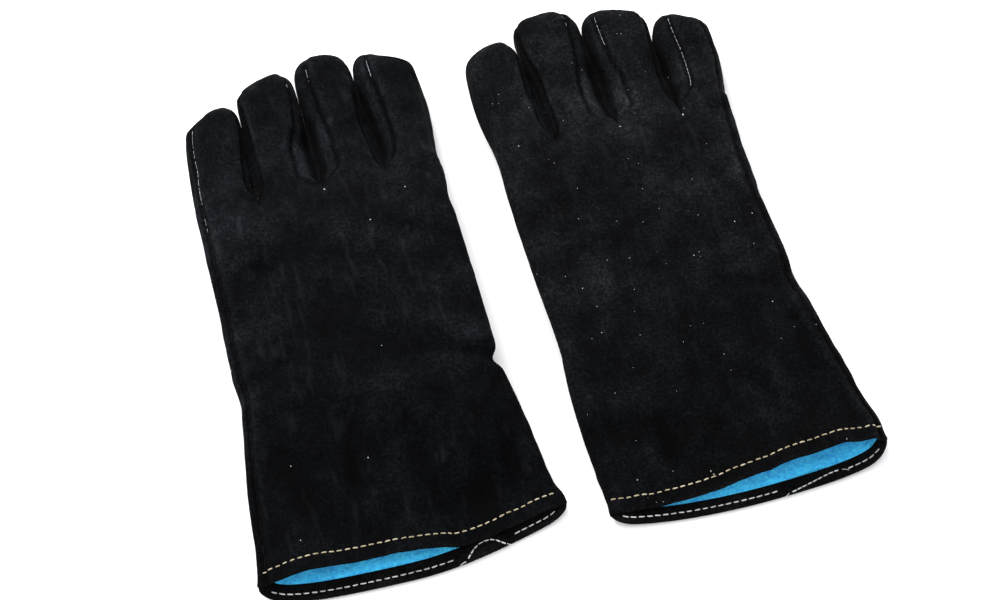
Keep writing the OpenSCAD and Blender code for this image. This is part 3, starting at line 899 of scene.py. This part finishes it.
def thread(name, dark, pale):
    """Twisted sewing thread, soiled in places, with painted shade in the grooves of its twist."""
    paint = Paint(name)
    shader, coords = paint.shader, paint.coords()
    twist = paint.nodes.new("ShaderNodeTexWave")
    set_inputs(twist, Scale=900, Distortion=2.5)
    paint.link(coords, twist.inputs["Vector"])
    soil = paint.noise(coords, 160, 3, 0.6)
    # Painted shade in the grooves of the twist, where its bump is low
    twist_shade = paint.ramp(twist.outputs["Fac"], (0.0, 0.72), (0.6, 1))
    colour = paint.mix(1.0, paint.ramp(soil, (0.35, dark), (0.6, pale)), twist_shade, "MULTIPLY")
    paint.link(colour, shader.inputs["Base Color"])
    set_inputs(shader, Roughness=0.7, Sheen_Weight=0.2)
    paint.link(paint.bump(twist.outputs["Fac"], 0.7, 0.0002), shader.inputs["Normal"])
    return paint.material


SUEDE = {
    "left": suede("suede_left", (0.0005, 0.0006, 0.0009), (0.0041, 0.0047, 0.0057),
                  dust=0.07, specks=[(60, 0.022)], crease_highlight_and_rub=0.28),
    "right": suede("suede_right", (0.0007, 0.0008, 0.0010), (0.0052, 0.0058, 0.0066),
                   dust=0.18, specks=[(75, 0.026), (130, 0.03)], crease_highlight_and_rub=0.2),
}
EDGE = suede("cut_leather_edge", (0.0012, 0.0012, 0.0014), (0.0042, 0.0042, 0.0045),
             dust=0.06, specks=[], crease_highlight_and_rub=0.1, shaded=False)
BLUE = fleece("blue_fleece", (0.012, 0.28, 0.78), (0.075, 0.66, 1.0))
CREAM = thread("cream_thread", (0.34, 0.27, 0.14), (0.64, 0.56, 0.38))
WHITE = thread("white_thread", (0.42, 0.42, 0.42), (0.76, 0.76, 0.75))
SEAM_THREAD = thread("seam_thread", (0.10, 0.11, 0.14), (0.36, 0.38, 0.44))


# ---------------------------------------------------------------- one glove
class Rings:
    """A part's two sheets read together as rings of points, which can be drawn in from the leather."""

    def __init__(self, shell, part):
        top, low = shell.patches[(part, True)], shell.patches[(part, False)]
        self.ids = np.concatenate([top, low[:, -2:0:-1]], axis=1)
        self.columns = top.shape[1]
        self.points, self.inward = shell.points[self.ids], shell.inward[self.ids]
        height_top, height_low = shell.points[top][:, :, 2], shell.points[low][:, :, 2]
        between = (height_top + height_low) / 2
        self.middle = np.concatenate([between, between[:, -2:0:-1]], axis=1)
        self.top = shell.top[self.ids]

    def inside(self, row, inset):
        """One ring, drawn in by inset but never past the middle between the two sheets."""
        q = self.points[row] + self.inward[row] * inset
        over = np.maximum(q[:, 2], self.middle[row] + 0.15)
        under = np.minimum(q[:, 2], self.middle[row] - 0.15)
        q[:, 2] = np.where(self.top[row], over, under)
        return q

    def at_depth(self, depth, inset):
        """The ring at a distance in from the mouth's edge."""
        away = self.points[:, :, 1] - self.points[0, :, 1]
        row = np.array([np.interp(depth, column, np.arange(len(away))) for column in away.T])
        row = np.clip(row, 0, len(away) - 1.001)
        low = row.astype(int)
        both = [np.array([self.inside(r, inset)[j] for j, r in enumerate(rows)]) for rows in (low, low + 1)]
        t = (row - low)[:, None]
        return both[0] * (1 - t) + both[1] * t


def make_leather(glove, shell):
    side = glove.side
    panels = {"hand": {"back": "hand_back", "palm": "hand_palm"},
              "cuff": {"back": "cuff_back", "palm": "cuff_palm"},
              "thumb": {"back": "thumb_back", "palm": "thumb_front"}}
    for name in FINGERS:
        panels[name] = {"back": f"{name}_back", "palm": f"{name}_front", "gussets": f"{name}_gussets"}
    for part, nodes in panels.items():
        for panel, node in nodes.items():
            piece = cut_panel(shell, f"{side}_{node}_leather", part, panel, LEATHER, SUEDE[side])
            settle(glove, piece, part, [f"{side}_{node}"])


def make_hem(glove, rings):
    """The leather folded over at the mouth and turned in, ending in a cut edge on the lining."""
    fold = []
    for turn in np.linspace(0, math.pi, 7):
        ring = rings.inside(0, HEM_FOLD * (1 - math.cos(turn)))
        ring[:, 1] -= HEM_FOLD * math.sin(turn)
        fold.append(ring)
    deepest = HEM_DEPTH[glove.side]
    for depth in np.linspace(1.2, deepest, 7):
        fold.append(rings.at_depth(depth, 2 * HEM_FOLD))
    fold.append(rings.at_depth(deepest + HEM_END, 2 * HEM_FOLD - 0.35))
    fold.append(rings.at_depth(deepest + HEM_END, 2 * HEM_FOLD - 1.1))
    piece = loft(glove, f"{glove.side}_hem_leather", fold, EDGE)
    settle(glove, piece, "mouth", [f"{glove.side}_cuff_hem"])
    return np.array(fold)


def make_linings(glove, shell, rings):
    """The fleece of the cuff, from under the hem, and of the hand, the fingers and the thumb."""
    side = glove.side
    ys = rings.points[:, rings.columns // 2, 1]
    split = int(np.searchsorted(ys, glove.wrist + WRIST_REACH))
    last = int(np.searchsorted(ys, glove.crotch - CROTCH_RISE))
    hem_end = HEM_DEPTH[side]
    under_hem = [rings.at_depth(hem_end - 2, 1.95), rings.at_depth(hem_end, 2.05)]
    under_hem.append(rings.at_depth(hem_end + 1.5, LINING_INSET + 0.2))
    first = int(np.searchsorted(ys, ys[0] + hem_end + CUFF_STEP + 4))
    for part, rows, lead in (("cuff", range(first, split + 1), under_hem), ("hand", range(split, last), [])):
        lined = np.array(lead + [rings.inside(i, LINING_INSET + 0.5) for i in rows])
        flat = lined.reshape(-1, 3)
        # The fleece is uneven, except where it lies under the hem
        loose = smooth((np.arange(len(lined)) - 2.0) / 3.0 if lead else np.ones(len(lined)))
        uneven = 0.22 * waves(flat, 14, 91) + 0.12 * waves(flat, 5, 92)
        flat[:, 2] += uneven * np.repeat(loose, lined.shape[1])
        piece = loft(glove, f"{side}_{part}_fleece", flat.reshape(lined.shape)[:, ::-1], BLUE)
        settle(glove, piece, part, [f"{side}_{part}_lining"])
    # Inside the fingers and the thumb the lining is a smaller copy of the leather's rings
    shrinks = {name: ((0.80, 1, 0.66), slice(6, -9)) for name in FINGERS}
    shrinks["thumb"] = ((0.82, 0.82, 0.55), slice(6, -6))
    for name, (shrink, rows) in shrinks.items():
        grid = Rings(shell, name).points[rows]
        centre = grid.mean(axis=1, keepdims=True)
        lined = centre + (grid - centre) * np.array(shrink)
        piece = loft(glove, f"{side}_{name}_fleece", lined[:, ::-1], BLUE)
        settle(glove, piece, name, [f"{side}_{name}_lining"])


def strip(path, normals):
    """Rings of a thin strip of leather that stands a little way out of a seam."""
    tangent = np.gradient(path, axis=0)
    tangent /= np.linalg.norm(tangent, axis=1)[:, None]
    across = np.cross(tangent, normals) * WELT_WIDTH
    out = normals * WELT_REACH
    ring = ((-1.5, 0.5), (0.3, 0.5), (0.8, 0.3), (1, 0), (0.8, -0.3), (0.3, -0.5), (-1.5, -0.5))
    return np.stack([path + out * up + across * off for up, off in ring], axis=1)


def make_welts(glove, shell):
    """The strip of leather sewn into each side seam of the hand and the cuff."""
    side = glove.side
    top = shell.patches[("hand", True)]
    lines = [seam.along for seam in shell.seams if seam.part == "hand"]
    lines.append(lambda values: values[top[:, -1]])
    ys = shell.points[top[:, -1], 1]
    split = int(np.searchsorted(ys, glove.wrist + WRIST_REACH))
    for part, rows in (("cuff", slice(5, split + 1)), ("hand", slice(split, None))):
        points, faces, count = [], [], 0
        for line in lines:
            strips = strip(line(shell.points)[rows], line(shell.normals)[rows])
            faces += quads(*strips.shape[:2], count, closed=False)
            points.append(strips.reshape(-1, 3))
            count += len(points[-1])
        points = glove.place(np.concatenate(points))
        piece = add_mesh(f"{side}_{part}_welts_leather", points, facing(glove, faces), EDGE)
        settle(glove, piece, part, [f"{side}_{part}_welts"])


def even_out(path, reach=3):
    """A path with its small zigzags averaged out."""
    padded = np.concatenate([np.repeat(path[:1], reach, axis=0), path, np.repeat(path[-1:], reach, axis=0)])
    return np.mean([padded[i:i + len(path)] for i in range(2 * reach + 1)], axis=0)


def make_seam_threads(glove, shell):
    """The thread where it shows: down the little finger's side, and on the seams rolled to the back."""
    side = glove.side
    runs = {"hand": [], **{name: [] for name in FINGERS}}
    for seam in shell.seams:
        path, normals = seam.along(shell.points), seam.along(shell.normals)
        path = even_out(path) + normals * FINE_LIFT
        if seam.kind == "side" and side == "left" and seam.part == "hand":
            start = int(np.searchsorted(path[:, 1], glove.knuckle - 25))
            runs["hand"].append((path[start:], normals[start:]))
        elif seam.kind == "side" and side == "left":
            runs["pinky"].append((path[:-12], normals[:-12]))
        elif seam.kind == "gusset" and seam.top:
            for name, end, first, last in SHOWN_THREAD[side]:
                if (name, end) == (seam.part, seam.end):
                    rows = (FINGER_TS >= first) & (FINGER_TS <= last)
                    runs[name].append((path[rows], normals[rows]))
    for part, lines in runs.items():
        lines = [line for line in lines if len(line[0]) > 3]
        if lines:
            piece = stitches(glove, f"{side}_{part}_seam_thread", lines, SEAM_THREAD, **FINE, seed=17)
            settle(glove, piece, part, [])


def make_hem_stitches(glove, rings, fold):
    """The cream row through the back, and the white row on the inside of the palm side."""
    side = glove.side
    count = rings.columns
    ring, above = rings.at_depth(HEM_ROW, -0.12), rings.at_depth(HEM_ROW, -1.12)
    path, normals = ring[1:count - 1], (above - ring)[1:count - 1]
    piece = stitches(glove, f"{side}_back_hem_stitches", [(path, normals)], CREAM, seed=3)
    settle(glove, piece, "mouth", [f"{side}_hem_stitches"])
    # The white row stops on either side of the patch
    inner = (fold[8][count:] + fold[9][count:]) / 2
    inner = inner[np.argsort(inner[:, 0])][3:-3]
    tab, half = TAB_X[side], TAB_HALF[side]
    lines = []
    for part in (inner[inner[:, 0] < tab - half], inner[inner[:, 0] > tab + half]):
        lines.append(one_way(part + np.array([0, 0, 0.15]), (0, -0.35, 0.94)))
    piece = stitches(glove, f"{side}_palm_hem_stitches", lines, WHITE, length=3.7, radius=0.40, seed=4)
    settle(glove, piece, "mouth", [])


def tab_grid(side, low):
    """The upper and lower side of the patch in the hem, laid over rows of points of the hem."""
    steps = np.linspace(-1, 1, TAB_STEPS + 1)
    xs = TAB_X[side] + TAB_HALF[side] * steps
    arch = 1 - np.abs(steps) ** 3
    grid = []
    for row in low:
        row = row[np.argsort(row[:, 0])]
        grid.append(np.stack([xs] + [np.interp(xs, row[:, 0], row[:, k]) for k in (1, 2)], axis=1))
    grid = np.array(grid)
    depth = np.linspace(0, 1, len(grid))[:, None]
    reach = mix(grid[:, :, 1], grid[0, :, 1], 0.45 * (1 - arch))
    grid[:, :, 1] = mix(grid[0, :, 1], reach, depth ** 0.5)
    upper = grid + np.array([0, 0, 1.0]) * (0.35 + 0.55 * arch[None, :, None])
    return upper, grid[:, ::-1] - np.array([0, 0, 0.25])


def make_hem_tab(glove, rings, fold):
    """The patch over the join in the hem, inside the palm side, with its arched row and loose ends."""
    side = glove.side
    upper, lower = tab_grid(side, fold[3:14, rings.columns:])
    piece = loft(glove, f"{side}_hem_tab_leather", np.concatenate([upper, lower], axis=1), EDGE)
    settle(glove, piece, "mouth", [f"{side}_hem_tab"])
    ts = np.linspace(-1, 1, 25)
    rise = {"left": 1 - np.abs(ts) ** 2.4, "right": 0.5 * (1 - ts)}[side]
    path = []
    for t, up in zip(ts, rise):
        i, j = mix(3.2, 8.6, up), (t * 0.9 + 1) / 2 * TAB_STEPS
        a, b = int(i), int(j)
        near, far = (mix(upper[a, k], upper[a + 1, k], i - a) for k in (b, b + 1))
        path.append(mix(near, far, j - b))
    path = np.array(path) + np.array([0, 0, 0.1])
    lines = [one_way(path, (0, -0.2, 0.98))]
    piece = stitches(glove, f"{side}_hem_tab_stitches", lines, WHITE, length=3.2, pitch=3.7)
    settle(glove, piece, "mouth", [])
    # The cut ends of the thread, left hanging where the row starts and stops
    rng = np.random.default_rng(21)
    for n, start in enumerate((path[0], path[-1])):
        sway = rng.uniform(-1, 1, 3)[0]
        make_thread_tail(glove, f"{side}_thread_tail_{n}", start, (-1) ** n, sway)


def make_thread_tail(glove, name, start, way, sway):
    """One loose end of thread, which wavers off across the glove and grows thinner."""
    circle = np.array([[0, math.cos(a), math.sin(a)] for a in np.arange(0, 6.2, 1.05)])
    rings = []
    for k, u in enumerate(np.linspace(0, 3, TAIL_RINGS)):
        step = np.array([-1.4 * way * u, -0.5 * u + 0.5 * sway * math.sin(u), 0.25 * math.sin(2 * u)])
        rings.append(start + step + TAIL_R * (1 - 0.5 * k / TAIL_RINGS) * circle)
    settle(glove, loft(glove, name, rings, WHITE), "mouth", [])


def make_bar_tacks(glove, shell):
    """A knot of thread at the foot of the finger crotches where it shows."""
    lines = []
    for k in ((2,) if glove.side == "left" else (1, 2)):
        ids = shell.patches[("hand", True)][-7:-3, k * BLOCK_STEPS]
        lines.append(one_way(shell.points[ids] + np.array([0, 0, 0.3]), (0, -0.3, 0.95)))
    piece = stitches(glove, f"{glove.side}_bar_tacks", lines, WHITE, **TACK, seed=8)
    settle(glove, piece, "rest", [])


def make_glove(side):
    glove = Glove(side)
    shell = Shell(glove)
    rings = Rings(shell, "hand")
    make_leather(glove, shell)
    fold = make_hem(glove, rings)
    make_linings(glove, shell, rings)
    make_welts(glove, shell)
    make_seam_threads(glove, shell)
    make_hem_stitches(glove, rings, fold)
    make_hem_tab(glove, rings, fold)
    make_bar_tacks(glove, shell)


make_glove("left")
make_glove("right")


# ---------------------------------------------------------------- floor, light and camera
FLOOR_REACH = 6.0
FLOOR_Z = -0.0005


def make_floor():
    mesh = bpy.data.meshes.new("floor")
    corners = [(x * FLOOR_REACH, y * FLOOR_REACH, FLOOR_Z) for x, y in ((-1, -1), (1, -1), (1, 1), (-1, 1))]
    mesh.from_pydata(corners, [], [(0, 1, 2, 3)])
    paint = Paint("white_floor")
    set_inputs(paint.shader, Base_Color=(0.93, 0.93, 0.93, 1), Roughness=0.8, Specular_IOR_Level=0.1)
    mesh.materials.append(paint.material)
    add_object("floor", mesh)


def area_light(name, at, aim, size, watts):
    data = bpy.data.lights.new(name, "AREA")
    data.shape = "RECTANGLE"
    data.size, data.size_y = size
    data.energy = watts
    light = add_object(name, data)
    light.location = at
    light.rotation_euler = (Vector(aim) - Vector(at)).to_track_quat("-Z", "Y").to_euler()


def make_light():
    world = bpy.data.worlds.new("studio")
    bpy.context.scene.world = world
    world.use_nodes = True
    set_inputs(world.node_tree.nodes["Background"], Color=(0.97, 0.98, 1, 1), Strength=0.85)
    area_light("key", at=(-0.5, 1.5, 1.3), aim=(0, 0.1, 0), size=(1.2, 0.8), watts=58)
    area_light("front", at=(0.3, -1.7, 0.8), aim=(0, -0.15, 0), size=(1.4, 0.5), watts=10)
    area_light("overhead", at=(0, 0.25, 2.2), aim=(0, 0.1, 0), size=(2.0, 1.6), watts=18)
    bpy.context.scene.view_settings.view_transform = "Standard"


CAMERA_AT = (-0.1751, -0.6359, 1.3567)
CAMERA_AZIMUTH = -15.0
CAMERA_ELEVATION = 64.65
CAMERA_LENS = 85.1
SENSOR_WIDTH = 36.0


def make_camera():
    camera = add_object("camera", bpy.data.cameras.new("camera"))
    a, e = math.radians(CAMERA_AZIMUTH), math.radians(CAMERA_ELEVATION)
    back = Vector((math.sin(a) * math.cos(e), -math.cos(a) * math.cos(e), math.sin(e)))
    camera.location = CAMERA_AT
    camera.rotation_euler = (-back).to_track_quat("-Z", "Y").to_euler()
    camera.data.lens = CAMERA_LENS
    camera.data.sensor_width = SENSOR_WIDTH
    bpy.context.scene.camera = camera


make_floor()
make_light()
make_camera()
